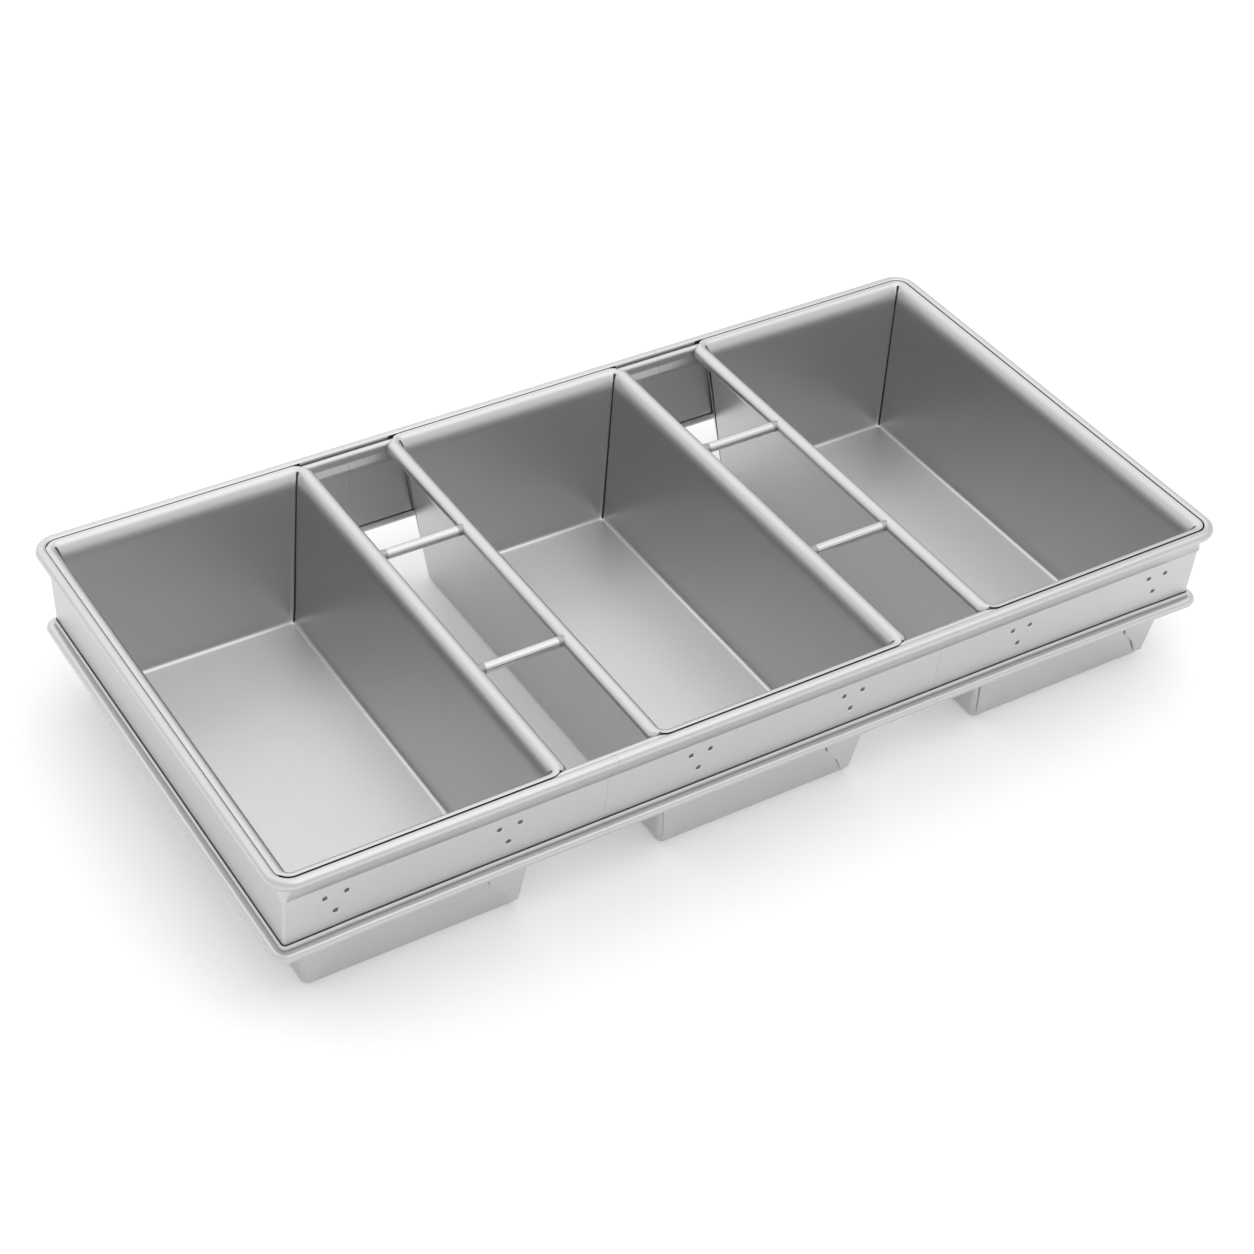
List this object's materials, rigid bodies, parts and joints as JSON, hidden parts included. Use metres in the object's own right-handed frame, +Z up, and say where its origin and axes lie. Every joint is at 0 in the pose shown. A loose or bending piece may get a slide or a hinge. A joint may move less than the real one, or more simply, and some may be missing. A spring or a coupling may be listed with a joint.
{
  "type": "strapped loaf pan",
  "caption": "Set of oblong loaf pans with rolled rims, held side by side in a beaded strap and braced by tie rods.",
  "frame": {"origin": "on the surface the pans stand on, at the middle of the set", "axes": "+X along the row of pans, +Y along each pan towards the rear, +Z up out of the pans' mouths"},
  "size_m": [0.462, 0.2412, 0.0773],
  "materials": {
    "pan_sheet": "satin",
    "strap_sheet": "satin",
    "rim_wire": "drawn",
    "tie_rod": "drawn",
    "weld": "as welded"
  },
  "bodies": {
    "root": {"pan_left": "pan_sheet", "pan_left_rim_wires": "rim_wire", "pan_left_front_spot_welds": "weld", "pan_left_rear_spot_welds": "weld", "pan_middle": "pan_sheet", "pan_middle_rim_wires": "rim_wire", "pan_middle_front_spot_welds": "weld", "pan_middle_rear_spot_welds": "weld", "pan_right": "pan_sheet", "pan_right_rim_wires": "rim_wire", "pan_right_front_spot_welds": "weld", "pan_right_rear_spot_welds": "weld", "strap_left_end": "strap_sheet", "tie_rod_left_gap_front": "tie_rod", "rod_welds_left_gap_front": "weld", "tie_rod_left_gap_rear": "tie_rod", "rod_welds_left_gap_rear": "weld", "strap_right_end": "strap_sheet", "tie_rod_right_gap_front": "tie_rod", "rod_welds_right_gap_front": "weld", "tie_rod_right_gap_rear": "tie_rod", "rod_welds_right_gap_rear": "weld", "strap_front_middle": "strap_sheet", "strap_rear_middle": "strap_sheet", "strap_top_wire_left": "rim_wire", "strap_top_wire_right": "rim_wire", "strap_bottom_wire_left": "rim_wire", "strap_bottom_wire_right": "rim_wire"}
  },
  "joints": []
}
